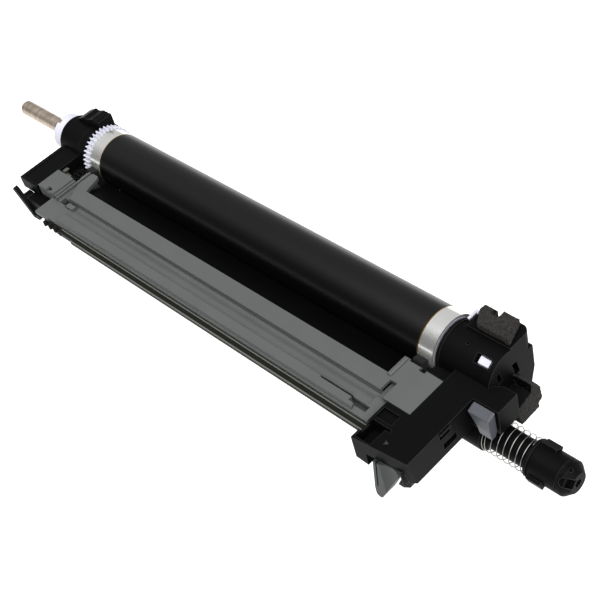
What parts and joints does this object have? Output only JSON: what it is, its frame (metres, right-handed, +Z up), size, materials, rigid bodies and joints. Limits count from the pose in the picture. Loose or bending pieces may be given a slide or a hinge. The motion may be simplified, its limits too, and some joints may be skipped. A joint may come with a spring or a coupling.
{
  "type": "printer drum unit",
  "caption": "Long printer drum unit: coated drum on a shaft, grey cleaning frame with blade, gear end, black end housing, waste tube with sprung shutter and a small release lever.",
  "frame": {"origin": "middle of the base at table level", "axes": "+X along the drum towards the waste tube, +Y away from the cleaning frame, +Z up"},
  "size_m": [0.4114, 0.083, 0.0509],
  "materials": {
    "coated_drum": "gloss photoconductor coating on the tube",
    "white_plastic": "moulded white acetal",
    "steel": "turned steel",
    "bright_steel": "bright spring and sheet steel",
    "grey_plastic": "moulded grey plastic",
    "black_plastic": "moulded black plastic",
    "black_sheet": "black coated sheet",
    "urethane": "dark urethane",
    "film": "thin polyester film",
    "foam": "charcoal foam",
    "felt": "dark felt"
  },
  "bodies": {
    "unit": {"idler_pin": "steel", "left_bush": "white_plastic", "left_bracket": "black_plastic", "guide_fin": "black_plastic", "earth_contact": "bright_steel", "cleaning_frame": "grey_plastic", "blade_holder": "black_sheet", "cleaning_blade": "urethane", "blade_screws": "bright_steel", "lower_trough": "black_plastic", "lower_seal": "film", "left_end_seal": "felt", "right_end_seal": "felt", "right_housing": "black_plastic", "right_bearing": "white_plastic", "latch_clip": "white_plastic", "front_foot": "grey_plastic", "waste_tube": "black_plastic", "tube_cap": "black_plastic", "shutter_spring": "bright_steel", "lever_pin": "bright_steel", "top_foam": "foam", "end_foam": "foam"},
    "drum": {"drum_sleeve": "coated_drum", "left_gear_flange": "white_plastic", "right_flange": "white_plastic", "drum_shaft": "steel"},
    "idler": {"idler_gear": "black_plastic"},
    "auger": {"waste_auger": "black_plastic", "auger_gear": "black_plastic"},
    "shutter": {"outlet_shutter": "black_plastic"},
    "lever": {"release_lever": "grey_plastic"}
  },
  "joints": [
    {"name": "drum_spin", "type": "hinge", "parent": "unit", "child": "drum", "pos_m": [0.00494, 0.0241, 0.032], "axis": [1, 0, 0], "continuous": true},
    {"name": "idler_spin", "type": "hinge", "parent": "unit", "child": "idler", "pos_m": [-0.12166, 0.00136, 0.02432], "axis": [1, 0, 0], "continuous": true},
    {"name": "auger_spin", "type": "hinge", "parent": "unit", "child": "auger", "pos_m": [0.02994, 0.0085, 0.01], "axis": [1, 0, 0], "continuous": true},
    {"name": "shutter_slide", "type": "slide", "parent": "unit", "child": "shutter", "axis": [1, 0, 0], "range_m": [-0.014, 0], "stiffness_N_per_m": 60, "springref_m": 0.01, "deforming": ["shutter_spring"]},
    {"name": "lever_tilt", "type": "hinge", "parent": "unit", "child": "lever", "pos_m": [0.16394, 0.0011, 0.0238], "axis": [1, 0, 0], "range_deg": [0, 15], "stiffness_Nm_per_rad": 0.01, "springref_deg": -5.73}
  ],
  "couplings": [
    {"joint": "idler_spin", "follows": "drum_spin", "ratio": -1.7273},
    {"joint": "auger_spin", "follows": "drum_spin", "ratio": 2.1111}
  ]
}
